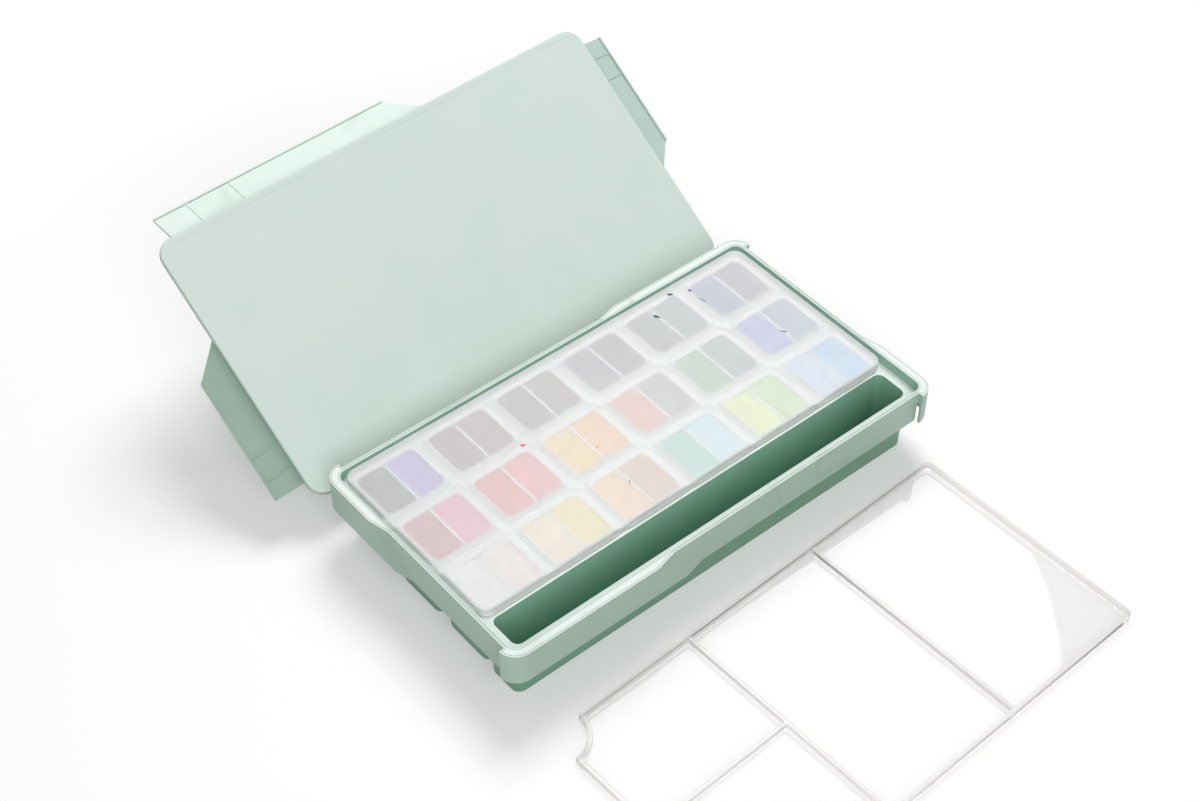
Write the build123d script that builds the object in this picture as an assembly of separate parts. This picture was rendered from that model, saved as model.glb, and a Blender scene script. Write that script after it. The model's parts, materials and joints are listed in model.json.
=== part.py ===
from build123d import *
from math import cos, radians, sin, tan
import os

# Acrylic paint set, in millimetres: a moulded tray with a brush well and pockets for twin paint cups,
# a flexible cover over the cups, a lid with four folding flaps, and a mixing palette.
# The origin is the centre of the brush well's underside. X runs along the tray, Y from the brush well
# to the back, Z up. The lid leans behind the tray and the palette lies in front of it.

# Tray: the narrow outline is the one at the short skirts
tray_length = 245.0
tray_width = 132.0
tray_height = 38.2
tray_corner = 6.5
rim_wall = 2.2
skirt_wall = 1.5

# How far cutting shapes reach past the surfaces that they open
overshoot = 1.0

# Skirts: each side has a tall, stepped out half that wraps one corner and ends in a ramp
skirt_step = 2.7
tall_skirt_foot = 20.0
short_skirt_foot = 27.6
skirt_wrap = 6.4
long_side_ramp = 45.0
short_side_ramp = 33.0
ramp_run = 11.0
ramp_slant = 17.6
heel_run = 14.0
heel_rise = 3.6

# Deck and brush well
deck_depth = 5.5
deck_wall = 1.5
well_margin = 7.0
well_width = 17.7
well_corner = 3.6
well_wall = 1.5
well_floor = 1.5
well_draft = 1.0

# Twin cups: width over the lip, and the gap between neighbours; their length fills the tray
cup_columns = 6
cup_rows = 3
cup_width = 31.6
cup_corner = 4.5
cup_gap_x = 2.6
cup_gap_y = 2.8
cup_lip = 1.5
cup_lip_height = 1.4
cup_body_corner = 3.6
cup_wall = 1.0
cup_floor = 1.2
cup_divider = 1.0
cell_corner = 3.0
cup_draft = 3.0
corner_flats = 3

# Pockets in the tray that the cups stand in
pocket_clearance = 0.3
pocket_seat_gap = 0.3
pocket_wall = 1.2
pocket_floor = 1.2

# Paint in the cups
paint_gap = 0.1
paint_below_rim = 2.5

# Flexible cover over all the cups
cover_side_gap = 0.4
cover_wall = 1.0
cover_sheet = 1.2
cover_rest_gap = 0.3
cover_rib_depth = 2.5
cover_rib_width = 3.4
cover_back_gap = 1.3
cover_end_gap = 1.7

# Lid plate, as wide as the tray over its tall skirts, a little longer at its ends
lid_end_overhang = 1.0
lid_thickness = 2.4
lid_corner = 9.0
lid_edge_chamfer = 0.6
lid_rib_height = 2.0
lid_rib_wall = 1.2
lid_rib_clearance = 0.6

# Lid flaps on their living hinges
flap_depth = 16.6
flap_thickness = 1.4
flap_end_gap = 1.2
flap_slant_gap = 2.0
flap_rim_width = 1.2
flap_rim_height = 0.7
flap_hook_height = 1.7
flap_hook_width = 1.2
flap_hook_gap = 0.3
flap_rib_width = 0.8
flap_rib_places = (0.72, 0.88)
hinge_bead_radius = 0.8
hinge_gap = 0.3
hinge_inset = 1.0
fold_left = 14.6
fold_back = 31.9
fold_right = 15.7

# How the lid leans on its hanging front flap: its front lower edge, seen from the tray's centre
lid_lean = 34.3
lid_yaw = 1.75
lid_shift_x = -1.5
lid_back_of_tray = 8.9
lid_foot_gap = 0.5

# Mixing palette
palette_length = 234.6
palette_width = 122.3
palette_height = 4.0
palette_floor = 1.4
palette_rim = 2.0
palette_divider = 1.8
palette_corner = 3.5
palette_inner_corner = 2.5
palette_notch = 15.5
palette_gap = 16.6
palette_yaw = 2.15
palette_shift_x = -0.4

# Places that follow from the sizes above
tray_y = tray_width / 2 - well_margin - well_width / 2
deck_z = tray_height - deck_depth
cover_length = tray_length - 2 * (rim_wall + cover_end_gap)
cups_span_x = cover_length - 2 * (cover_side_gap + cover_wall)
cup_length = (cups_span_x + cup_gap_x) / cup_columns - cup_gap_x
pitch_x = cup_length + cup_gap_x
pitch_y = cup_width + cup_gap_y
cups_span_y = cup_rows * pitch_y - cup_gap_y
cover_width = cups_span_y + 2 * (cover_side_gap + cover_wall)
cover_corner = cup_corner + cover_side_gap + cover_wall
cups_y = tray_y + tray_width / 2 - rim_wall - cover_back_gap - cover_width / 2
cup_base_z = pocket_floor + pocket_seat_gap
cup_top_z = deck_z + cup_lip_height
body_length = cup_length - 2 * cup_lip
body_width = cup_width - 2 * cup_lip
lid_length = tray_length + 2 * (skirt_step + lid_end_overhang)
lid_width = tray_width + 2 * skirt_step
hinge_drop = lid_thickness + hinge_gap + hinge_bead_radius
fold_front = 90 - lid_lean
hinge_height = flap_depth + lid_foot_gap
lid_edge_height = hinge_height + hinge_drop * cos(radians(lid_lean)) - hinge_inset * sin(radians(lid_lean))


def block(x0, x1, y0, y1, z0, z1):
    """Box between two corners."""
    size = (x1 - x0, y1 - y0, z1 - z0)
    return Pos((x0 + x1) / 2, (y0 + y1) / 2, (z0 + z1) / 2) * Box(*size)


def plate(length, width, radius, z0, z1):
    """Upright slab with rounded corners, centred on the Z axis."""
    return extrude(Pos(0, 0, z0) * RectangleRounded(length, width, radius), amount=z1 - z0)


def tub(length, width, radius, z0, z1, draft):
    """Slab that narrows downwards from z1 to z0, sized at its top."""
    outline = Pos(0, 0, z1) * RectangleRounded(length, width, radius)
    return extrude(outline, amount=z0 - z1, taper=draft)


def faceted_outline(length, width, radius, z):
    """Corner points of a rectangle whose corners are rounded by a few flats each."""
    points = []
    for k, (side_x, side_y) in enumerate(((-1, -1), (1, -1), (1, 1), (-1, 1))):
        x = side_x * (length / 2 - radius)
        y = side_y * (width / 2 - radius)
        for step in range(corner_flats + 1):
            angle = radians(180 + 90 * (k + step / corner_flats))
            points.append(Vector(x + radius * cos(angle), y + radius * sin(angle), z))
    return points


def faceted_tub(length, width, radius, z0, z1, draft):
    """Like tub, with flat walls only, so that the many small tubs stay light."""
    inset = (z1 - z0) * tan(radians(draft))
    top = faceted_outline(length, width, radius, z1)
    bottom = faceted_outline(length - 2 * inset, width - 2 * inset, radius - inset, z0)
    rings = [bottom, top, *zip(bottom, bottom[1:] + bottom[:1], top[1:] + top[:1], top)]
    return Solid(Shell([Face(Wire.make_polygon(ring)) for ring in rings]))


def sides():
    """Front, right, back and left: turn, half length, distance out and ramp place of each."""
    long_side = (tray_length / 2, tray_width / 2, long_side_ramp)
    short_side = (tray_width / 2, tray_length / 2, short_side_ramp)
    for k in range(4):
        half, out, ramp = short_side if k % 2 else long_side
        yield Rot(Z=90 * k), half, out, ramp


def cup_places():
    """Row number, column number, X and Y of each twin cup."""
    for row in range(cup_rows):
        for column in range(cup_columns):
            x = (column - (cup_columns - 1) / 2) * pitch_x
            y = cups_y + (row - (cup_rows - 1) / 2) * pitch_y
            yield row + 1, column + 1, x, y


def ramp_cutter(half, out, ramp, inset):
    """Takes the step off one side, from the slanted ramp to where the next corner's skirt begins."""
    face = out - inset
    slope = skirt_step / ramp_run
    rise = tray_height - tall_skirt_foot
    foot = ramp_slant - ramp
    low = tall_skirt_foot - overshoot
    high = tray_height + overshoot
    start = foot + overshoot * ramp_slant / rise
    outer = skirt_step + overshoot
    points = [(start + ramp_run - outer / slope, -face - outer), (start + ramp_run, -face)]
    points += [(half - skirt_wrap - ramp_slant, -face), (half - skirt_wrap - ramp_slant, -face - outer)]
    path = Vector(-ramp_slant * (high - low) / rise, 0, high - low)
    slanted = extrude(Pos(0, 0, low) * Polygon(*points, align=None), amount=path.length, dir=path)
    straight = block(0, half - skirt_wrap, -face - outer, -face, low, high)
    return slanted + straight


def envelope(inset):
    """Outer shape of rim and skirts, or with an inset their inner shape."""
    length = tray_length + 2 * (skirt_step - inset)
    width = tray_width + 2 * (skirt_step - inset)
    corner = tray_corner + skirt_step - inset
    shape = plate(length, width, corner, tall_skirt_foot, tray_height)
    for turn, half, out, ramp in sides():
        shape -= turn * ramp_cutter(half, out, ramp, inset)
    return shape


def foot_cutter(half, out, ramp):
    """Lifts the lower edge of one side to the short skirt's, past a rising heel."""
    heel = ramp_slant - ramp
    low = tall_skirt_foot - overshoot
    points = [(heel, tall_skirt_foot), (heel + heel_run, tall_skirt_foot + heel_rise)]
    points += [(heel + heel_run, short_skirt_foot), (half - skirt_wrap, short_skirt_foot)]
    points += [(half - skirt_wrap, low), (heel, low)]
    inner = skirt_wall + overshoot
    outline = Plane.XZ.offset(out - inner) * Polygon(*points, align=None)
    return extrude(outline, amount=inner + skirt_step + overshoot)


def make_tray():
    below_deck = block(-tray_length, tray_length, -tray_width, tray_width, 0, deck_z - deck_wall)
    shell = envelope(0) - (envelope(skirt_wall) & below_deck)
    for turn, half, out, ramp in sides():
        shell -= turn * foot_cutter(half, out, ramp)
    inside = (tray_length - 2 * rim_wall, tray_width - 2 * rim_wall, tray_corner - rim_wall)
    shell -= plate(*inside, deck_z, tray_height + overshoot)
    shell = Pos(0, tray_y, 0) * shell

    well_length = tray_length - 2 * well_margin
    wall = 2 * well_wall
    shell += tub(well_length + wall, well_width + wall, well_corner + well_wall, 0, deck_z, well_draft)
    shell -= tub(well_length, well_width, well_corner, well_floor, deck_z, well_draft)

    opening = (body_length + 2 * pocket_clearance, body_width + 2 * pocket_clearance)
    outside = (opening[0] + 2 * pocket_wall, opening[1] + 2 * pocket_wall)
    corner = cup_body_corner + pocket_clearance
    pocket = faceted_tub(*outside, corner + pocket_wall, 0, deck_z - deck_wall / 2, cup_draft)
    cavity = faceted_tub(*opening, corner, pocket_floor, deck_z, cup_draft)
    places = [Pos(x, y, 0) for row, column, x, y in cup_places()]
    shell += [place * pocket for place in places]
    shell -= [place * cavity for place in places]
    return shell


def cell_interior(inset, z0, z1):
    """Room inside both cells, narrowing with the draft, before the divider parts it."""
    spare = 2 * (cup_wall + inset) + 2 * (cup_top_z - z1) * tan(radians(cup_draft))
    return faceted_tub(body_length - spare, body_width - spare, cell_corner, z0, z1, cup_draft)


def make_cup():
    body = faceted_tub(body_length, body_width, cup_body_corner, cup_base_z, deck_z, cup_draft)
    lip = plate(cup_length, cup_width, cup_corner, deck_z, cup_top_z)
    floor_z = cup_base_z + cup_floor
    cells = cell_interior(0, floor_z, cup_top_z)
    half = cup_divider / 2
    divider = block(-half, half, -cup_width / 2, cup_width / 2, floor_z, cup_top_z)
    return body + lip - (cells - divider)


def make_paint():
    floor_z = cup_base_z + cup_floor
    fill = cell_interior(paint_gap, floor_z, cup_top_z - paint_below_rim)
    half = cup_divider / 2 + paint_gap
    return fill - block(-half, half, -cup_width, cup_width, floor_z, cup_top_z)


def make_cover():
    rib_z = cup_top_z + cover_rest_gap
    sheet_z = rib_z + cover_rib_depth
    top_z = sheet_z + cover_sheet
    edge = 2 * cover_wall
    cover = plate(cover_length, cover_width, cover_corner, deck_z + cover_rest_gap, top_z)
    cover -= plate(cover_length - edge, cover_width - edge, cover_corner - cover_wall, deck_z, sheet_z)
    x, y, rib = cover_length / 2 - cover_wall, cover_width / 2 - cover_wall, cover_rib_width / 2
    for column in range(1, cup_columns):
        middle = (column - cup_columns / 2) * pitch_x
        cover += block(middle - rib, middle + rib, -y, y, rib_z, sheet_z)
    for row in range(1, cup_rows):
        middle = (row - cup_rows / 2) * pitch_y
        cover += block(-x, x, middle - rib, middle + rib, rib_z, sheet_z)
    return Pos(0, cups_y, 0) * cover


def make_lid_plate():
    """Plate lying flat, outer face up at z = 0, centred on the Z axis."""
    slab = plate(lid_length, lid_width, lid_corner, -lid_thickness, 0)
    slab = chamfer(slab.edges().group_by(Axis.Z)[-1], lid_edge_chamfer)
    rib = [tray_length, tray_width]
    rib = [size - 2 * (rim_wall + lid_rib_clearance) for size in rib]
    radius = tray_corner - rim_wall
    low = -lid_thickness - lid_rib_height
    slab += plate(*rib, radius, low, -lid_thickness)
    hollow = [size - 2 * lid_rib_wall for size in rib]
    return slab - plate(*hollow, radius - lid_rib_wall, low, -lid_thickness)


def make_flap(half, ramp):
    """Open flap along a side's X, its hinge axis on X and its depth towards -Y, outer face up."""
    start = ramp_run - ramp + flap_slant_gap
    slant = ramp_slant * flap_depth / (tray_height - tall_skirt_foot)
    end = half - skirt_wrap - flap_end_gap
    high = flap_thickness / 2
    rim = flap_rim_width
    outline = Polygon((start, 0), (start + slant, -flap_depth), (end, -flap_depth), (end, 0), align=None)
    flap = extrude(Pos(0, 0, -high) * outline, amount=flap_thickness)
    edge = [(start + slant - rim, rim - flap_depth), (start + slant, -flap_depth)]
    edge += [(end, -flap_depth), (end, rim - flap_depth)]
    flap += extrude(Pos(0, 0, high) * Polygon(*edge, align=None), amount=flap_rim_height)
    bead = Cylinder(hinge_bead_radius, end - start, rotation=(0, 90, 0))
    flap += Pos((start + end) / 2, 0, 0) * bead
    hook_y = hinge_drop - lid_thickness - (tray_height - short_skirt_foot) - flap_hook_gap
    hook_low = -high - flap_hook_height
    flap += block(start + slant, end - rim, hook_y - flap_hook_width, hook_y, hook_low, -high)
    rib = flap_rib_width / 2
    rib_y = -(hinge_inset + lid_end_overhang + hinge_gap)
    for share in flap_rib_places:
        x = start + share * (end - start)
        flap += block(x - rib, x + rib, rim - flap_depth, rib_y, high, high + flap_rim_height / 2)
    return flap


def lid_place():
    """Where the flat lid goes: leaning behind the tray."""
    y = tray_y + tray_width / 2 + lid_back_of_tray
    turn = Rot(Z=lid_yaw) * Rot(X=lid_lean)
    return Pos(lid_shift_x, y, lid_edge_height) * turn * Pos(0, lid_width / 2, 0)


def flap_places():
    """Name, half length of its side, ramp, place on the flat lid and fold of each flap."""
    names = (("front", fold_front), ("right", fold_right), ("back", fold_back), ("left", fold_left))
    for (name, fold), (turn, half, out, ramp) in zip(names, sides()):
        hinge_y = -(out + skirt_step - hinge_inset)
        yield name, half, ramp, turn * Pos(0, hinge_y, -hinge_drop), fold


def make_palette():
    shape = plate(palette_length, palette_width, palette_corner, 0, palette_height)
    x, y = palette_length / 2, palette_width / 2
    notch = Pos(-x, y, palette_height / 2) * Cylinder(palette_notch, 2 * palette_height)
    inside = (palette_length - 2 * palette_rim, palette_width - 2 * palette_rim)
    high = palette_height + overshoot
    rim_cut = plate(*inside, palette_inner_corner, palette_floor, high)
    rim_cut -= Pos(-x, y, palette_height / 2) * Cylinder(palette_notch + palette_rim, 2 * palette_height)
    third = (palette_length - 2 * palette_rim) / 3
    half = palette_divider / 2
    for side in (-1, 1):
        middle = side * third / 2
        rim_cut -= block(middle - half, middle + half, -y, y, 0, high)
    rim_cut -= block(-x, -third / 2, -half, half, 0, high)
    shape = shape - rim_cut - notch
    y_place = tray_y - tray_width / 2 - palette_gap - y
    return Pos(palette_shift_x, y_place, 0) * Rot(Z=palette_yaw) * shape


def write(shape, name):
    """One STEP file for each sub-part."""
    solids = shape.solids()
    body = solids[0] if len(solids) == 1 else Compound(children=list(solids))
    body.label = name
    export_step(body, f"parts/{name}.step")
    print(name, len(solids), round(sum(s.volume for s in solids)))


os.makedirs("parts", exist_ok=True)
write(make_tray(), "tray")
cup, paint = make_cup(), make_paint()
for row, column, x, y in cup_places():
    write(Pos(x, y, 0) * cup, f"cup_{row}_{column}")
    write(Pos(x, y, 0) * paint, f"paint_{row}_{column}")
write(make_cover(), "cover")
write(make_palette(), "palette")
write(lid_place() * make_lid_plate(), "lid_plate")
for name, half, ramp, place, fold in flap_places():
    hinge = lid_place() * place
    write(hinge * Rot(X=fold) * make_flap(half, ramp), f"lid_flap_{name}")
    along = (hinge * Pos(1, 0, 0)).position - hinge.position
    print("hinge of", name, "flap at", hinge.position, "along", along)
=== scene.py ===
import json
from math import cos, pi, radians, sin, tan

import bmesh
import bpy
from bpy.props import FloatProperty, FloatVectorProperty, PointerProperty
from mathutils import Matrix, Vector, noise
from mathutils.geometry import tessellate_polygon


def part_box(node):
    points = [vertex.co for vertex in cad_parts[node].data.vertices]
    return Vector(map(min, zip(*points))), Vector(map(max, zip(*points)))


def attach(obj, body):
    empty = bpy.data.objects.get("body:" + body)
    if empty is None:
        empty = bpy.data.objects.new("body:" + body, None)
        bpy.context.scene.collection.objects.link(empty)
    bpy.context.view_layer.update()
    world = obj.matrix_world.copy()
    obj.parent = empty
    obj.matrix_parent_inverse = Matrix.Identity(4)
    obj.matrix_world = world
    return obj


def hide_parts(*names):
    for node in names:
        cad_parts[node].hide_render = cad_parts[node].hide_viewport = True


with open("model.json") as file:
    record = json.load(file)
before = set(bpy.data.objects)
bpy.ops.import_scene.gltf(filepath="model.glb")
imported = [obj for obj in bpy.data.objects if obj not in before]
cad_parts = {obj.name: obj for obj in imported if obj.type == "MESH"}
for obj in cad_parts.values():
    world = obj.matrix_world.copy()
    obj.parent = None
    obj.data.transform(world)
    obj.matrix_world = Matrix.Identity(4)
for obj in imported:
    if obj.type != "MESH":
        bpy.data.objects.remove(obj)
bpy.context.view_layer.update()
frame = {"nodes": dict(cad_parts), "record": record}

bl_info = {
    "name": "Acrylic Paint Set",
    "version": (1, 0, 0),
    "blender": (4, 5, 0),
    "location": "3D View > Sidebar > Paint Set",
    "description": "Dresses a packed paint set: tray, paint cups, frosted cover, lid and palette",
    "category": "Object",
}

MM = 0.001
CUP_ROWS = 3
CUP_COLUMNS = 6

PLASTIC_IOR = 1.49
FILM_IOR = 1.35
PAINT_IOR = 1.5
SHEET_IOR = 1.3
EDGE_IOR = 1.25
FILM_TINT = (0.98, 0.98, 0.98)

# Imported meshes, in millimetres
WELD = 0.004
SAME_LEVEL = 0.02

# Tray: from its box to the walls behind the skirts, and the band in which those walls lie,
# in millimetres, and the share of its half height above which the deck lies
# These bands choose the tray's faces that get painted shade.
SKIRT_BAND = 4.4
OUTER_WALL_BAND = 7
DECK_SHARE = 0.6

# Paint, in millimetres
PAINT_BELOW_LIP = 0.5
PAINT_CELL_GAP = 1.2
PAINT_DRAFT = radians(3)
PAINT_FOOT_CORNER = 1.2
PAINT_RIM_CORNER = 2.4
PAINT_RINGS = 9
PAINT_CLING = 0.45
PAINT_SAG = 0.35
SWIRLS_PER_METRE = 160

# Lid and flaps: share of the groove's depth in the lid, and of its edge radius on the flaps
LID_GROOVE_SHARE = 0.4
FLAP_EDGE_SHARE = 0.8

# Specks of paint
SPECK_POINTS = 24
SPECK_LAYERS = 4
SPECK_HEIGHT = 0.12 * MM
SPECK_RAGGEDNESS = 0.5

# The top of the palette's rim and dividers lies above this height, in millimetres
PALETTE_FLOOR_TOP = 3

# Stage, in metres, but the sensor's width in millimetres
FLOOR_SIZE = 12
FLOOR_CORNER = 2
FLOOR_BELOW = 0.1 * MM
FLOOR_COLOUR = (0.8, 0.8, 0.795, 1)
GLOW_REACH = (0.4, 1.3)
GLOW_STRENGTH = (0.22, 0.75)
LAMP_AIM = Vector((0.0, 0.1, 0.02))
KEY_PLACE, KEY_SIZE = (0.6, 0.6, 1.25), 0.8
FILL_PLACE, FILL_SIZE = (-0.7, -1.1, 0.95), 1.2
CAMERA_TARGET = Vector((23.06, 102.54, 0)) * MM
SENSOR_WIDTH = 36
CLIP_NEAR, CLIP_FAR = 0.05, 50

# Paint in the left and the right cell of each twin cup, front row first, in display colours
PAINTS = (
    (("white", (0.94, 0.93, 0.90)), ("shell_pink", (0.96, 0.85, 0.82))),
    (("cream", (0.98, 0.86, 0.66)), ("primrose", (0.98, 0.84, 0.25))),
    (("apricot", (0.97, 0.72, 0.40)), ("ochre", (0.76, 0.54, 0.32))),
    (("turquoise", (0.28, 0.74, 0.66)), ("ice_blue", (0.66, 0.87, 0.94))),
    (("lemon_lime", (0.84, 0.92, 0.45)), ("leaf_green", (0.62, 0.82, 0.38))),
    (("cloud_blue", (0.68, 0.80, 0.96)), ("sky_blue", (0.44, 0.74, 0.93))),
    (("crimson", (0.72, 0.12, 0.30)), ("rose", (0.90, 0.38, 0.60))),
    (("scarlet", (0.86, 0.12, 0.15)), ("coral_red", (0.92, 0.27, 0.33))),
    (("golden_yellow", (0.99, 0.76, 0.12)), ("marigold", (0.98, 0.66, 0.14))),
    (("terracotta", (0.87, 0.46, 0.28)), ("stone_grey", (0.50, 0.48, 0.50))),
    (("emerald", (0.18, 0.60, 0.35)), ("sea_grey", (0.25, 0.45, 0.42))),
    (("periwinkle", (0.34, 0.41, 0.78)), ("slate_blue", (0.34, 0.47, 0.64))),
    (("black", (0.08, 0.08, 0.09)), ("lilac", (0.56, 0.42, 0.82))),
    (("maroon", (0.38, 0.09, 0.12)), ("oxide_red", (0.46, 0.12, 0.11))),
    (("umber", (0.29, 0.21, 0.20)), ("taupe", (0.37, 0.29, 0.27))),
    (("steel_grey", (0.33, 0.33, 0.36)), ("charcoal", (0.17, 0.17, 0.19))),
    (("bottle_green", (0.12, 0.27, 0.23)), ("deep_teal", (0.12, 0.38, 0.38))),
    (("ultramarine", (0.19, 0.24, 0.56)), ("aubergine", (0.28, 0.23, 0.42))),
)

# Dried specks on the cover: row and column of the cup, side of the cell whose paint it is,
# place from the cover's middle, length and width in millimetres, and turn in degrees
SPECKS = (
    (2, 2, 1, (-45.3, 14.1), (2.8, 1.1), -40),
    (3, 5, 1, (71.0, 46.5), (3.6, 1.5), -40),
    (3, 5, 1, (55.9, 39.1), (3.6, 1.5), -65),
    (2, 6, -1, (80.2, 42.5), (2.2, 1.3), -70),
    (2, 6, -1, (80.6, 33.4), (5.0, 0.5), -80),
    (2, 6, -1, (95.7, -6.9), (3.6, 0.7), -55),
    (2, 3, 1, (-20.1, -8.0), (1.6, 0.8), -30),
    (1, 3, 1, (-22.3, -33.3), (1.8, 0.6), 40),
)

# Each flap and the display colour of its upper side, lighter or darker per flap as painted light
# and shade
FLAP_LIGHT_AND_SHADE = (
    ("front", (0.86, 0.915, 0.885)),
    ("right", (0.73, 0.81, 0.78)),
    ("back", (0.90, 0.955, 0.925)),
    ("left", (0.60, 0.69, 0.64)),
)


def colour_property(name, description, default):
    """Display colour that a user can change."""
    return FloatVectorProperty(
        name=name,
        description=description,
        subtype="COLOR_GAMMA",
        size=3,
        min=0,
        max=1,
        default=default,
    )


def length_property(name, description, default):
    """Length that a user can change, given in millimetres."""
    return FloatProperty(
        name=name,
        description=description,
        unit="LENGTH",
        subtype="DISTANCE",
        precision=5,
        default=default * MM,
    )


def angle_property(name, description, default):
    """Angle that a user can change, given in degrees."""
    return FloatProperty(
        name=name, description=description, subtype="ANGLE", default=radians(default)
    )


class PaintSetPlastics(bpy.types.PropertyGroup):
    """Colours of the moulded and clear plastics, some of them lighter or darker as painted light
    and shade.
    """

    mint: colour_property("Mint", "Colour of the tray, lid and flaps", (0.655, 0.75, 0.695))
    # Near white as painted sheen: the lamps' gloss on the up-facing rim and deck.
    mint_rim_sheen: colour_property("Rim", "Colour of the rim and the deck", (0.93, 0.965, 0.945))
    # Painted shade: the walls and the well inside the tray take this darker colour and no paler
    # top.
    mint_inner_shade: colour_property("Deep Mint", "Colour of walls inside the tray", (0.59, 0.755, 0.675))
    # Painted shade: the outer walls below the skirts take this dark colour, for the shade under the
    # overhang.
    mint_under_shade: colour_property(
        "Under Mint", "Colour of the outer walls below the skirts", (0.44, 0.60, 0.51)
    )
    # Paler as painted light: the lid's upper side, brightened as if by the lamps' sheen.
    mint_lid_painted_light: colour_property("Lid Mint", "Colour of the lid", (0.84, 0.89, 0.865))
    frost: colour_property("Frost", "Colour of the flexible cover", (0.905, 0.91, 0.91))
    cup: colour_property("Cup", "Colour of the paint cups", (0.93, 0.94, 0.93))
    clear: colour_property("Clear", "Tint of the palette", (0.975, 0.975, 0.975))
    # Greyer as painted shade: the darker lines that the palette's edges show.
    clear_edge_shade: colour_property(
        "Clear Edge", "Tint of the palette's rim and dividers", (0.93, 0.925, 0.915)
    )


class PaintSetSizes(bpy.types.PropertyGroup):
    """Rounded edges, grooves and paint surfaces."""

    tray_edge: length_property("Tray Edge", "Radius of the tray's edges", 0.35)
    lid_edge: length_property("Lid Edge", "Radius of the edges of lid and flaps", 0.25)
    cover_edge: length_property("Cover Edge", "Radius of the cover's upper edge", 0.8)
    cover_corner: length_property("Cover Corner", "Corner radius of the cover", 5.9)
    cover_wall: length_property("Cover Wall", "Thickness of the cover's side wall", 1.0)
    cover_sheet: length_property("Cover Sheet", "Thickness of the cover over the cups", 1.2)
    cover_rib_depth: length_property("Cover Rib Depth", "Depth of the ribs between the cups", 2.5)
    cover_rib_width: length_property("Cover Rib Width", "Width of the ribs between the cups", 3.4)
    cover_cell_corner: length_property(
        "Cover Cell Corner", "Corner radius of the cells between ribs", 3.6
    )
    palette_edge: length_property("Palette Edge", "Radius of the palette's edges", 0.4)
    groove_width: length_property("Groove Width", "Width of one flank of a fine groove", 0.18)
    groove_depth: length_property("Groove Depth", "Depth of a fine groove", 0.3)
    rim_margin: length_property("Rim Margin", "From the rim's rounded edge to its groove", 0.3)
    lid_margin: length_property("Lid Margin", "From the lid's edge to its border line", 2.6)
    swirl_height: length_property(
        "Swirl Height", "How far the paint's surface rises and falls", 0.35
    )


class PaintSetStage(bpy.types.PropertyGroup):
    """Camera and lamps."""

    azimuth: angle_property("Azimuth", "Camera's turn about the set", -40.05)
    elevation: angle_property("Elevation", "Camera's height angle", 46.14)
    roll: angle_property("Roll", "Camera's tilt", 0.34)
    distance: length_property("Distance", "From the camera to the point it looks at", 1058.2)
    lens: FloatProperty(name="Lens", description="Focal length", unit="CAMERA", default=65.54)
    key_power: FloatProperty(
        name="Key Power", description="Watts of the lamp behind the set", default=12.5
    )
    fill_power: FloatProperty(
        name="Fill Power", description="Watts of the lamp in front", default=12.0
    )
    sky: FloatProperty(
        name="Sky", description="Strength of the light from all around", default=0.34
    )


def plastics():
    return bpy.context.scene.paint_set_plastics


def sizes():
    return bpy.context.scene.paint_set_sizes


# Shading


def linear(colour):
    """Display colour as the linear RGBA that shaders take."""
    low = [c / 12.92 for c in colour]
    high = [((c + 0.055) / 1.055) ** 2.4 for c in colour]
    return tuple(l if c <= 0.04045 else h for c, l, h in zip(colour, low, high)) + (1.0,)


def shaded(colour, factor):
    """The colour, darker by a factor."""
    return [c * factor for c in colour]


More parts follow.
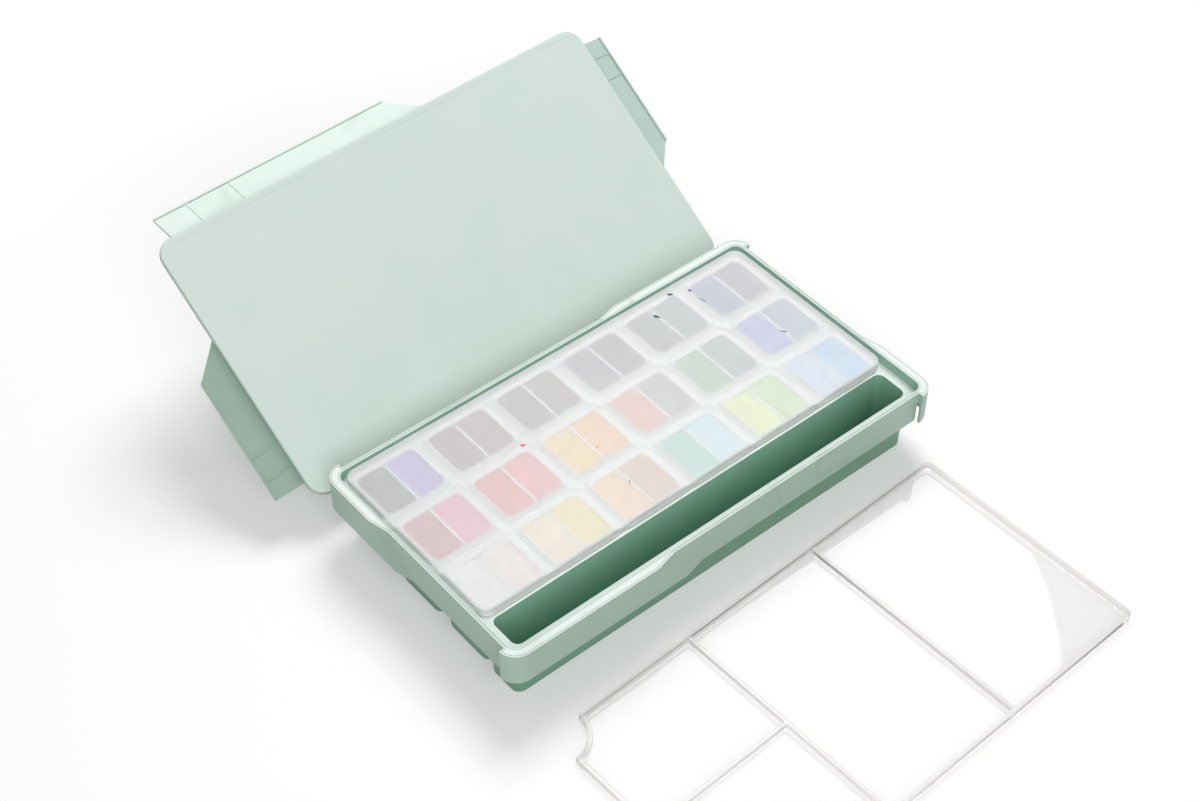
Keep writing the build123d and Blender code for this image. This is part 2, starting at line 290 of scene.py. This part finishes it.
class Graph:
    """Adds shader nodes to a material or a world."""

    def __init__(self, owner):
        owner.use_nodes = True
        self.owner = owner
        self.tree = owner.node_tree
        self.tree.nodes.clear()

    def feed(self, socket, value):
        """Links an output to the socket, or sets its own value."""
        if isinstance(value, bpy.types.NodeSocket):
            self.tree.links.new(value, socket)
        else:
            socket.default_value = value

    def add(self, kind, inputs=(), **settings):
        made = self.tree.nodes.new("ShaderNode" + kind)
        for key, value in settings.items():
            setattr(made, key, value)
        for key, value in dict(inputs).items():
            self.feed(made.inputs[key], value)
        return made

    def coordinates(self):
        """Place on the piece, in metres."""
        return self.add("TexCoord").outputs["Object"]

    def noise(self, scale, detail=2.0, distortion=0.0):
        inputs = {"Scale": scale, "Detail": detail, "Distortion": distortion}
        return self.add("TexNoise", {"Vector": self.coordinates(), **inputs}).outputs["Fac"]

    def spread(self, value, low, high, to_low=0.0, to_high=1.0):
        """Maps low to high onto to_low to to_high, held at both ends."""
        inputs = {"From Min": low, "From Max": high, "To Min": to_low, "To Max": to_high}
        return self.add("MapRange", {"Value": value, **inputs}).outputs["Result"]

    def mix(self, factor, a, b, blend="MIX"):
        colour_a, colour_b, result = 6, 7, 2
        made = self.add("Mix", data_type="RGBA", blend_type=blend)
        self.feed(made.inputs["Factor"], factor)
        self.feed(made.inputs[colour_a], a)
        self.feed(made.inputs[colour_b], b)
        return made.outputs[result]

    def math(self, operation, a, b=0.0):
        made = self.add("Math", operation=operation)
        self.feed(made.inputs[0], a)
        self.feed(made.inputs[1], b)
        return made.outputs[0]

    def facing_up(self):
        """1 where a surface faces up, 0 from upright down."""
        normal = self.add("NewGeometry").outputs["Normal"]
        upward = self.add("SeparateXYZ", {"Vector": normal}).outputs["Z"]
        return self.spread(upward, 0.25, 0.9)

    def bump(self, height, strength, distance):
        inputs = {"Height": height, "Strength": strength, "Distance": distance}
        return self.add("Bump", inputs).outputs["Normal"]

    def lamps_through(self, shader, tint):
        """Lets lamp light pass a clear piece, so that it doesn't darken what lies under it."""
        path = self.add("LightPath").outputs
        passing = self.math("MAXIMUM", path["Is Shadow Ray"], path["Is Diffuse Ray"])
        clear = self.add("BsdfTransparent", {"Color": linear(tint)}).outputs[0]
        made = self.add("MixShader", {"Fac": passing})
        self.feed(made.inputs[1], shader)
        self.feed(made.inputs[2], clear)
        return made.outputs[0]

    def seen(self):
        """1 for the rays that see the background, 0 for those that light the set."""
        path = self.add("LightPath").outputs
        direct = self.math("MAXIMUM", path["Is Camera Ray"], path["Is Glossy Ray"])
        return self.math("MAXIMUM", direct, path["Is Transmission Ray"])

    def finish(self, shader):
        self.add("OutputMaterial", {"Surface": shader})
        return self.owner


def new_material(name):
    return Graph(bpy.data.materials.new(name))


def moulded_plastic(name, side, top, streaks=0.5, roughness=0.42):
    """Satin polypropylene: soft clouding, curved flow marks, a fine grain, and an upper side
    painted paler as painted light from above.
    """
    graph = new_material(name)
    cloud = graph.noise(38.0, 3.0)
    grain = graph.noise(2600.0, 1.0)
    flow = graph.noise(13.0, 1.5, 1.1)
    ridge = graph.math("ABSOLUTE", graph.math("SUBTRACT", flow, 0.5))
    line = graph.math("POWER", graph.spread(ridge, 0.0, 0.05, 1.0, 0.0), 2.0)
    patch = graph.spread(graph.noise(17.0, 1.0), 0.45, 0.7)
    mark = graph.math("MULTIPLY", line, graph.math("MULTIPLY", patch, streaks))
    # Painted light: faces turned up take the paler top colour, faces turned sideways or down the
    # side colour.
    colour = graph.mix(graph.facing_up(), linear(side), linear(top))
    dull = graph.mix(graph.spread(cloud, 0.3, 0.75), (0.95, 0.965, 0.955, 1), (1, 1, 1, 1))
    colour = graph.mix(1.0, colour, dull, "MULTIPLY")
    colour = graph.mix(mark, colour, linear(shaded(side, 0.86)))
    rough = graph.spread(cloud, 0.25, 0.8, roughness - 0.06, roughness + 0.08)
    sunk = graph.math("MULTIPLY", mark, -1.2)
    height = graph.math("ADD", graph.math("MULTIPLY", grain, 0.35), sunk)
    shader = graph.add("BsdfPrincipled", {
        "Base Color": colour,
        "Roughness": rough,
        "IOR": PLASTIC_IOR,
        "Normal": graph.bump(height, 0.35, 0.00006),
    })
    return graph.finish(shader.outputs[0])


def frosted_film(name, tint):
    """Milky outer face of the flexible film, which blurs what lies under it."""
    graph = new_material(name)
    cloud = graph.noise(60.0, 3.0)
    grain = graph.noise(3000.0, 1.0)
    colour = graph.mix(graph.spread(cloud, 0.3, 0.7), linear(shaded(tint, 0.985)), linear(tint))
    shader = graph.add("BsdfPrincipled", {
        "Base Color": colour,
        "Roughness": graph.spread(cloud, 0.2, 0.8, 0.27, 0.34),
        "IOR": FILM_IOR,
        "Transmission Weight": 0.46,
        "Normal": graph.bump(grain, 0.2, 0.00004),
    })
    return graph.finish(graph.lamps_through(shader.outputs[0], FILM_TINT))


def film_underside(name, tint):
    """Clear inner face of the film."""
    graph = new_material(name)
    grain = graph.noise(900.0, 1.0)
    shader = graph.add("BsdfPrincipled", {
        "Base Color": linear(tint),
        "Roughness": 0.2,
        "IOR": FILM_IOR,
        "Transmission Weight": 1.0,
        "Normal": graph.bump(grain, 0.1, 0.00004),
    })
    return graph.finish(graph.lamps_through(shader.outputs[0], FILM_TINT))


def cup_plastic(name, tint):
    """Thin natural polypropylene of the cups."""
    graph = new_material(name)
    cloud = graph.noise(90.0, 2.0)
    colour = graph.mix(graph.spread(cloud, 0.3, 0.7), linear(shaded(tint, 0.97)), linear(tint))
    shader = graph.add("BsdfPrincipled", {
        "Base Color": colour,
        "Roughness": graph.spread(cloud, 0.2, 0.8, 0.28, 0.4),
        "IOR": PLASTIC_IOR,
        "Normal": graph.bump(graph.noise(2400.0, 1.0), 0.2, 0.00005),
    })
    return graph.finish(shader.outputs[0])


def clear_plastic(name, tint, roughness, ior):
    """Clear polystyrene of the palette."""
    graph = new_material(name)
    cloud = graph.noise(30.0, 2.0)
    colour = graph.mix(graph.spread(cloud, 0.3, 0.7), linear(shaded(tint, 0.99)), linear(tint))
    shader = graph.add("BsdfPrincipled", {
        "Base Color": colour,
        "Roughness": roughness,
        "IOR": ior,
        "Transmission Weight": 1.0,
        "Normal": graph.bump(graph.noise(40.0, 1.0), 0.05, 0.0001),
    })
    return graph.finish(graph.lamps_through(shader.outputs[0], tint))


def acrylic_paint(name, tint):
    """Thick wet paint with brushed swirls of slightly lighter and darker colour."""
    graph = new_material("paint_" + name)
    swirl = graph.noise(150.0, 3.0, 2.2)
    fine = graph.noise(520.0, 2.0, 1.2)
    dark = linear(shaded(tint, 0.86))
    light = linear([min(1.0, c * 1.04 + 0.02) for c in tint])
    colour = graph.mix(graph.spread(swirl, 0.3, 0.7), dark, light)
    height = graph.math("ADD", swirl, graph.math("MULTIPLY", fine, 0.4))
    shader = graph.add("BsdfPrincipled", {
        "Base Color": colour,
        "Roughness": graph.spread(fine, 0.3, 0.7, 0.22, 0.34),
        "IOR": PAINT_IOR,
        "Normal": graph.bump(height, 0.5, 0.0004),
    })
    return graph.finish(shader.outputs[0])


# Meshes


def outline(length, width, radius, steps=8):
    """Points round a rectangle with rounded corners, anticlockwise."""
    points = []
    for k, (side_x, side_y) in enumerate(((-1, -1), (1, -1), (1, 1), (-1, 1))):
        for step in range(steps + 1):
            angle = pi + pi / 2 * (k + step / steps)
            x = side_x * (length / 2 - radius) + radius * cos(angle)
            y = side_y * (width / 2 - radius) + radius * sin(angle)
            points.append(Vector((x, y, 0)))
    return points


def ring(bm, points, z, shift=(0, 0)):
    """Vertices at the points, moved to the shift and the height."""
    return [bm.verts.new((p.x + shift[0], p.y + shift[1], p.z + z)) for p in points]


def bridge(bm, lower, upper):
    """Band of quads between two rings of as many points."""
    count = len(lower)
    for i in range(count):
        j = (i + 1) % count
        bm.faces.new((lower[i], lower[j], upper[j], upper[i]))


def fill_between(bm, outer, holes):
    """Flat faces between an outer ring and the rings of its holes."""
    loops = [outer, *holes]
    flat = [v for loop in loops for v in loop]
    for triangle in tessellate_polygon([[v.co for v in loop] for loop in loops]):
        bm.faces.new([flat[i] for i in triangle])


def flatten_shading(mesh, least):
    """Lets large faces set the shading of the edges beside them, so that flat faces look flat."""
    around = [[] for _ in mesh.vertices]
    for face in mesh.polygons:
        for vertex in face.vertices:
            around[vertex].append(face)
    normals = []
    for face in mesh.polygons:
        for vertex in face.vertices:
            near = [f for f in around[vertex] if f.normal.dot(face.normal) > least]
            normals.append(sum((f.normal * f.area for f in near), Vector()).normalized())
    mesh.normals_split_custom_set(normals)


def piece(name, bm, materials, sharp=35):
    """Turns a bmesh into a smooth-shaded object with crisp edges over the sharp angle."""
    bmesh.ops.recalc_face_normals(bm, faces=bm.faces)
    mesh = bpy.data.meshes.new(name)
    bm.to_mesh(mesh)
    bm.free()
    for material in materials:
        mesh.materials.append(material)
    mesh.shade_smooth()
    mesh.set_sharp_from_angle(angle=radians(sharp))
    flatten_shading(mesh, cos(radians(sharp)))
    made = bpy.data.objects.new(name, mesh)
    bpy.context.scene.collection.objects.link(made)
    return made


def dress(made, body, slot, *nodes):
    """Ties a piece to its body and hides the nodes that it replaces; its slot is not used."""
    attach(made, body)
    if nodes:
        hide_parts(*nodes)
    return made


def material_slots():
    """Each node's material slot in the record."""
    return {part["node"]: part["material_slot"] for part in frame["record"]["subparts"]}


def paint_pair(row, column):
    """Names and colours of the paints in a twin cup."""
    return PAINTS[(row - 1) * CUP_COLUMNS + column - 1]


def each_cup():
    """Row and column of each twin cup, both from 1."""
    for row in range(1, CUP_ROWS + 1):
        for column in range(1, CUP_COLUMNS + 1):
            yield row, column


def packed_faces(node):
    """The node's mesh, welded and with its flat faces joined."""
    bm = bmesh.new()
    bm.from_mesh(frame["nodes"][node].data)
    bmesh.ops.remove_doubles(bm, verts=bm.verts, dist=WELD * MM)
    bmesh.ops.dissolve_degenerate(bm, edges=bm.edges, dist=WELD * MM)
    bmesh.ops.dissolve_limit(bm, angle_limit=radians(0.5), verts=bm.verts, edges=bm.edges)
    bm.normal_update()
    return bm


def round_edges(bm, radius, crease=32):
    """Rounds the edges over the crease angle, in degrees."""
    limit = radians(crease)
    edges = [e for e in bm.edges if e.is_manifold and e.calc_face_angle(0) > limit]
    bmesh.ops.bevel(
        bm,
        geom=edges,
        offset=radius,
        offset_type="OFFSET",
        segments=2,
        profile=0.5,
        affect="EDGES",
        clamp_overlap=False,
        miter_outer="ARC",
        miter_inner="SHARP",
        spread=radius,
    )
    bm.normal_update()


def groove(bm, faces, margin, width, depth):
    """Fine V groove that follows the border of a flat region, margin from it."""
    region = list(faces)
    for thickness, step in ((margin, 0.0), (width, -depth), (width, depth)):
        bmesh.ops.inset_region(
            bm,
            faces=region,
            thickness=thickness,
            depth=step,
            use_even_offset=True,
            use_boundary=True,
        )
    bm.normal_update()


# Operators


class PAINTSET_OT_tray(bpy.types.Operator):
    """Make the moulded tray with rounded edges and the fine grooves on its rim"""

    bl_idname = "paintset.tray"
    bl_label = "Tray"

    def execute(self, context):
        size, colours = sizes(), plastics()
        low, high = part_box("tray")
        bm = packed_faces("tray")
        round_edges(bm, size.tray_edge)
        level = high.z - SAME_LEVEL * MM
        rim = [f for f in bm.faces if f.normal.z > 0.999 and f.calc_center_median().z > level]
        groove(bm, rim, size.rim_margin, size.groove_width, size.groove_depth)
        middle = (low + high) / 2
        half = (high - low) / 2 - Vector((SKIRT_BAND, SKIRT_BAND, 0)) * MM
        for face in bm.faces:
            face.material_index = self.painted_shade_zone(face, middle, half)
        # Painted light and shade: rim and deck take a near-white top colour, the walls inside and
        # under the skirts darker colours.
        materials = [
            moulded_plastic("mint_tray", colours.mint, colours.mint_rim_sheen),
            moulded_plastic("mint_inner_shade", colours.mint_inner_shade, colours.mint_inner_shade, 0.1, 0.36),
            moulded_plastic("mint_under_shade", colours.mint_under_shade, colours.mint_under_shade, 0.1, 0.4),
        ]
        dress(piece("tray_shell", bm, materials), "tray", "mint_plastic", "tray")
        return {"FINISHED"}

    def painted_shade_zone(self, face, middle, half):
        """0 for rim, deck and skirts, 1 for the walls inside, 2 for the walls under the skirts; 1
        and 2 take darker colours as painted shade.
        """
        centre = face.calc_center_median() - middle
        if abs(centre.x) >= half.x or abs(centre.y) >= half.y:
            return 0
        if centre.z < DECK_SHARE * half.z:
            for axis in (0, 1):
                near = abs(centre[axis]) > half[axis] - OUTER_WALL_BAND * MM
                if near and face.normal[axis] * centre[axis] > 0:
                    return 2
        deck = face.normal.z > 0.5 and centre.z > DECK_SHARE * half.z
        return int(not deck)


class PAINTSET_OT_cups(bpy.types.Operator):
    """Make the twin paint cups"""

    bl_idname = "paintset.cups"
    bl_label = "Cups"

    def execute(self, context):
        material = cup_plastic("cup_plastic", plastics().cup)
        for row, column in each_cup():
            node = f"cup_{row}_{column}"
            made = piece(f"twin_cup_{row}_{column}", packed_faces(node), [material], 40)
            dress(made, node, "cup_plastic", node)
        return {"FINISHED"}


class PAINTSET_OT_paints(bpy.types.Operator):
    """Fill both cells of each cup with paint"""

    bl_idname = "paintset.paints"
    bl_label = "Paints"

    def execute(self, context):
        slots = material_slots()
        for row, column in each_cup():
            pair = paint_pair(row, column)
            node, cup = f"paint_{row}_{column}", f"cup_{row}_{column}"
            low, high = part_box(node)
            middle = (low + high) / 2
            high.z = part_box(cup)[1].z - PAINT_BELOW_LIP * MM
            bm = bmesh.new()
            for side in (-1, 1):
                self.fill(bm, low, high, middle, side, row * 10 + column)
            materials = [acrylic_paint(name, tint) for name, tint in pair]
            made = piece(f"paint_fill_{row}_{column}", bm, materials, 60)
            for face in made.data.polygons:
                face.material_index = int(face.center.x > middle.x)
            dress(made, cup, slots[node], node)
        return {"FINISHED"}

    def fill(self, bm, low, high, middle, side, seed):
        """One cell of paint: a wavy top with a raised rim where it clings to the walls."""
        gap = PAINT_CELL_GAP * MM / 2
        length = (high.x - low.x) / 2 - gap
        width = high.y - low.y
        centre = (middle.x + side * (gap + length / 2), middle.y)
        taper = (high.z - low.z) * tan(PAINT_DRAFT)
        bottom = outline(length - taper, width - 2 * taper, PAINT_FOOT_CORNER * MM)
        rim = outline(length, width, PAINT_RIM_CORNER * MM)
        lower = ring(bm, bottom, low.z, (centre[0] - side * taper / 2, centre[1]))
        bm.faces.new(list(reversed(lower)))
        upper = ring(bm, rim, high.z, centre)
        bridge(bm, lower, upper)
        for k in range(1, PAINT_RINGS + 1):
            share = 1 - k / (PAINT_RINGS + 0.6)
            inner = ring(bm, [p * share for p in rim], high.z, centre)
            cling = PAINT_CLING * MM * (share ** 6) - PAINT_SAG * MM
            for v in inner:
                x, y = v.co.x * SWIRLS_PER_METRE, v.co.y * SWIRLS_PER_METRE
                swirl = noise.noise(Vector((x, y, seed * 3.7 + side)))
                v.co.z += cling + sizes().swirl_height * swirl
            bridge(bm, upper, inner)
            upper = inner
        bm.faces.new(upper)


class PAINTSET_OT_specks(bpy.types.Operator):
    """Put dried specks of paint on the cover"""

    bl_idname = "paintset.specks"
    bl_label = "Specks"

    def execute(self, context):
        slots = material_slots()
        low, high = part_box("cover")
        middle = (low + high) / 2
        for number, (row, column, side, place, size, turn) in enumerate(SPECKS, 1):
            centre = (middle.x + place[0] * MM, middle.y + place[1] * MM)
            name = paint_pair(row, column)[side > 0][0]
            bm = bmesh.new()
            self.blob(bm, centre, high.z, size, radians(turn), number)
            made = piece(f"speck_{number}", bm, [bpy.data.materials["paint_" + name]], 80)
            dress(made, "cover", slots[f"paint_{row}_{column}"])
        return {"FINISHED"}

    def blob(self, bm, centre, z, size, turn, seed):
        """Flat drop with a ragged outline."""
        base = []
        for i in range(SPECK_POINTS):
            angle = 2 * pi * i / SPECK_POINTS
            here = Vector((cos(angle) * 1.7, sin(angle) * 1.7, seed * 5.1))
            ragged = 1 + SPECK_RAGGEDNESS * noise.noise(here)
            point = Vector((cos(angle) * size[0], sin(angle) * size[1], 0)) * (ragged * MM / 2)
            base.append(Matrix.Rotation(turn, 3, "Z") @ point)
        lower = ring(bm, base, z, centre)
        bm.faces.new(list(reversed(lower)))
        for k in range(1, SPECK_LAYERS + 1):
            angle = pi / 2 * k / (SPECK_LAYERS + 0.5)
            points = [p * cos(angle) for p in base]
            upper = ring(bm, points, z + SPECK_HEIGHT * sin(angle), centre)
            bridge(bm, lower, upper)
            lower = upper
        bm.faces.new(lower)


class PAINTSET_OT_cover(bpy.types.Operator):
    """Make the frosted flexible cover, with a shallow cell over each cup"""

    bl_idname = "paintset.cover"
    bl_label = "Cover"

    def execute(self, context):
        size = sizes()
        low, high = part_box("cover")
        middle = (low + high) / 2
        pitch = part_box("cup_2_2")[0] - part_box("cup_1_1")[0]
        sheet_z = high.z - size.cover_sheet
        rib_z = sheet_z - size.cover_rib_depth
        bm = bmesh.new()

        def loop(inset, z):
            length, width = high.x - low.x - 2 * inset, high.y - low.y - 2 * inset
            return ring(bm, outline(length, width, size.cover_corner - inset), z, middle)

        edge, steps = size.cover_edge, 4
        outside = [loop(0, low.z)]
        for step in range(steps + 1):
            angle = step * pi / (2 * steps)
            outside.append(loop(edge * (1 - cos(angle)), high.z - edge * (1 - sin(angle))))
        for lower, upper in zip(outside, outside[1:]):
            bridge(bm, lower, upper)
        bm.faces.new(outside[-1])
        outer_faces = len(bm.faces)

        inner = [loop(size.cover_wall, low.z), loop(size.cover_wall, rib_z)]
        bridge(bm, outside[0], inner[0])
        bridge(bm, *inner)
        rib = size.cover_rib_width
        cell = outline(pitch.x - rib, pitch.y - rib, size.cover_cell_corner)
        holes = []
        for row, column in each_cup():
            x = middle.x + (column - (CUP_COLUMNS + 1) / 2) * pitch.x
            y = middle.y + (row - (CUP_ROWS + 1) / 2) * pitch.y
            holes.append(ring(bm, cell, rib_z, (x, y)))
            upper = ring(bm, cell, sheet_z, (x, y))
            bridge(bm, holes[-1], upper)
            bm.faces.new(upper)
        fill_between(bm, inner[1], holes)
        bm.normal_update()
        for face in list(bm.faces)[outer_faces:]:
            face.material_index = int(abs(face.normal.z) > 0.5)
        materials = [
            frosted_film("frosted_film", plastics().frost),
            film_underside("film_underside", plastics().frost),
        ]
        dress(piece("frosted_cover", bm, materials), "cover", "frosted_cover", "cover")
        return {"FINISHED"}


class PAINTSET_OT_lid(bpy.types.Operator):
    """Make the lid plate with its border line"""

    bl_idname = "paintset.lid"
    bl_label = "Lid Plate"

    def execute(self, context):
        size, colours = sizes(), plastics()
        bm = packed_faces("lid_plate")
        outer = max(bm.faces, key=lambda f: f.calc_area() * (f.normal.z > 0))
        facing = outer.normal.copy()
        level = max(v.co.dot(facing) for v in bm.verts)
        round_edges(bm, size.lid_edge, crease=25)
        flat = []
        for face in bm.faces:
            off = abs(face.calc_center_median().dot(facing) - level)
            if face.normal.dot(facing) > 0.999 and off < SAME_LEVEL * MM:
                flat.append(face)
        groove(bm, flat, size.lid_margin, size.groove_width, size.groove_depth * LID_GROOVE_SHARE)
        # Painted light: the lid's upper side takes the paler colour, its edges and underside the
        # mint.
        material = moulded_plastic("mint_lid_painted_light", colours.mint, colours.mint_lid_painted_light, 0.0, 0.36)
        dress(piece("lid_panel", bm, [material]), "lid", "mint_plastic", "lid_plate")
        return {"FINISHED"}


class PAINTSET_OT_flaps(bpy.types.Operator):
    """Make the four folding flaps of the lid"""

    bl_idname = "paintset.flaps"
    bl_label = "Flaps"

    def execute(self, context):
        colours = plastics()
        for side, tint in FLAP_LIGHT_AND_SHADE:
            # Painted light and shade: each flap's upper side has its own lighter or darker colour.
            material = moulded_plastic(f"mint_flap_{side}", colours.mint, tint, 0.4, 0.32)
            node = f"lid_flap_{side}"
            bm = packed_faces(node)
            round_edges(bm, sizes().lid_edge * FLAP_EDGE_SHARE)
            dress(piece(f"flap_{side}", bm, [material]), node, "mint_plastic", node)
        return {"FINISHED"}


class PAINTSET_OT_palette(bpy.types.Operator):
    """Make the clear mixing palette"""

    bl_idname = "paintset.palette"
    bl_label = "Palette"

    def execute(self, context):
        colours = plastics()
        bm = packed_faces("palette")
        round_edges(bm, sizes().palette_edge)
        # Painted shade: the rim and dividers take a greyer, rougher clear plastic, so that their
        # edges read as darker lines.
        for face in bm.faces:
            on_top = face.calc_center_median().z > PALETTE_FLOOR_TOP * MM
            face.material_index = int(on_top or abs(face.normal.z) < 0.9)
        materials = [
            clear_plastic("clear_sheet", colours.clear, 0.02, SHEET_IOR),
            clear_plastic("clear_edge_shade", colours.clear_edge_shade, 0.3, EDGE_IOR),
        ]
        dress(piece("mixing_palette", bm, materials), "palette", "clear_plastic", "palette")
        return {"FINISHED"}


class PAINTSET_OT_stage(bpy.types.Operator):
    """Make the floor, the lamps and the camera"""

    bl_idname = "paintset.stage"
    bl_label = "Stage"

    def execute(self, context):
        stage = context.scene.paint_set_stage
        self.floor()
        self.sky(context, stage.sky)
        self.lamp(context, "key", KEY_PLACE, KEY_SIZE, stage.key_power)
        self.lamp(context, "fill", FILL_PLACE, FILL_SIZE, stage.fill_power)
        self.camera(context, stage)
        context.scene.view_settings.view_transform = "Standard"
        return {"FINISHED"}

    def floor(self):
        """White floor that keeps the set's shadow and glows more, to the eye, away from it."""
        bm = bmesh.new()
        bm.faces.new(ring(bm, outline(FLOOR_SIZE, FLOOR_SIZE, FLOOR_CORNER, 12), -FLOOR_BELOW))
        graph = new_material("white_floor")
        paper = graph.add("BsdfDiffuse", {"Color": FLOOR_COLOUR})
        length = graph.add("VectorMath", {0: graph.coordinates()}, operation="LENGTH")
        level = graph.spread(length.outputs["Value"], *GLOW_REACH, *GLOW_STRENGTH)
        glow = graph.add("Emission", {"Strength": graph.math("MULTIPLY", graph.seen(), level)})
        both = graph.add("AddShader")
        graph.feed(both.inputs[0], paper.outputs[0])
        graph.feed(both.inputs[1], glow.outputs[0])
        piece("floor", bm, [graph.finish(both.outputs[0])])

    def sky(self, context, strength):
        """Soft light from all around, seen as plain white."""
        world = bpy.data.worlds.new("white_sky")
        context.scene.world = world
        graph = Graph(world)
        level = graph.spread(graph.seen(), 0, 1, strength, 1.0)
        sky = graph.add("Background", {"Color": (1, 1, 1, 1), "Strength": level})
        graph.add("OutputWorld", {"Surface": sky.outputs[0]})

    def lamp(self, context, name, place, size, power):
        """Round soft lamp, kept out of reflections."""
        light = bpy.data.lights.new(name, "AREA")
        light.shape = "DISK"
        light.size = size
        light.energy = power
        lamp = bpy.data.objects.new(name, light)
        lamp.location = place
        lamp.rotation_mode = "QUATERNION"
        lamp.rotation_quaternion = (LAMP_AIM - lamp.location).to_track_quat("-Z", "Y")
        lamp.visible_glossy = False
        context.scene.collection.objects.link(lamp)

    def camera(self, context, stage):
        """Camera at the photograph's angle."""
        data = bpy.data.cameras.new("camera")
        data.lens = stage.lens
        data.sensor_width = SENSOR_WIDTH
        data.clip_start, data.clip_end = CLIP_NEAR, CLIP_FAR
        a, e = stage.azimuth, stage.elevation
        back = Vector((sin(a) * cos(e), -cos(a) * cos(e), sin(e)))
        right = Vector((cos(a), sin(a), 0))
        up = back.cross(right)
        level = Matrix((right, up, back)).transposed()
        turned = level @ Matrix.Rotation(stage.roll, 3, "Z")
        place = Matrix.Translation(CAMERA_TARGET + back * stage.distance)
        camera = bpy.data.objects.new("camera", data)
        camera.matrix_world = place @ turned.to_4x4()
        context.scene.collection.objects.link(camera)
        context.scene.camera = camera


class PAINTSET_PT_panel(bpy.types.Panel):
    """Lists the pieces of the paint set and their settings."""

    bl_idname = "PAINTSET_PT_panel"
    bl_label = "Paint Set"
    bl_space_type = "VIEW_3D"
    bl_region_type = "UI"
    bl_category = "Paint Set"

    def draw(self, context):
        for operator in OPERATORS:
            self.layout.operator(operator.bl_idname)
        for name in GROUPS:
            box = self.layout.box()
            group = getattr(context.scene, name)
            for key in group.bl_rna.properties.keys():
                if key not in ("rna_type", "name"):
                    box.prop(group, key)


OPERATORS = (
    PAINTSET_OT_tray,
    PAINTSET_OT_cups,
    PAINTSET_OT_paints,
    PAINTSET_OT_cover,
    PAINTSET_OT_specks,
    PAINTSET_OT_lid,
    PAINTSET_OT_flaps,
    PAINTSET_OT_palette,
    PAINTSET_OT_stage,
)
GROUPS = {
    "paint_set_plastics": PaintSetPlastics,
    "paint_set_sizes": PaintSetSizes,
    "paint_set_stage": PaintSetStage,
}


def register():
    for group in (*GROUPS.values(), *OPERATORS, PAINTSET_PT_panel):
        bpy.utils.register_class(group)
    for name, group in GROUPS.items():
        setattr(bpy.types.Scene, name, PointerProperty(type=group))


def unregister():
    for name in GROUPS:
        delattr(bpy.types.Scene, name)
    for group in (PAINTSET_PT_panel, *reversed(OPERATORS), *GROUPS.values()):
        bpy.utils.unregister_class(group)


def main():
    register()
    for operator in OPERATORS:
        category, name = operator.bl_idname.split(".")
        getattr(getattr(bpy.ops, category), name)()


if __name__ == "__main__":
    main()
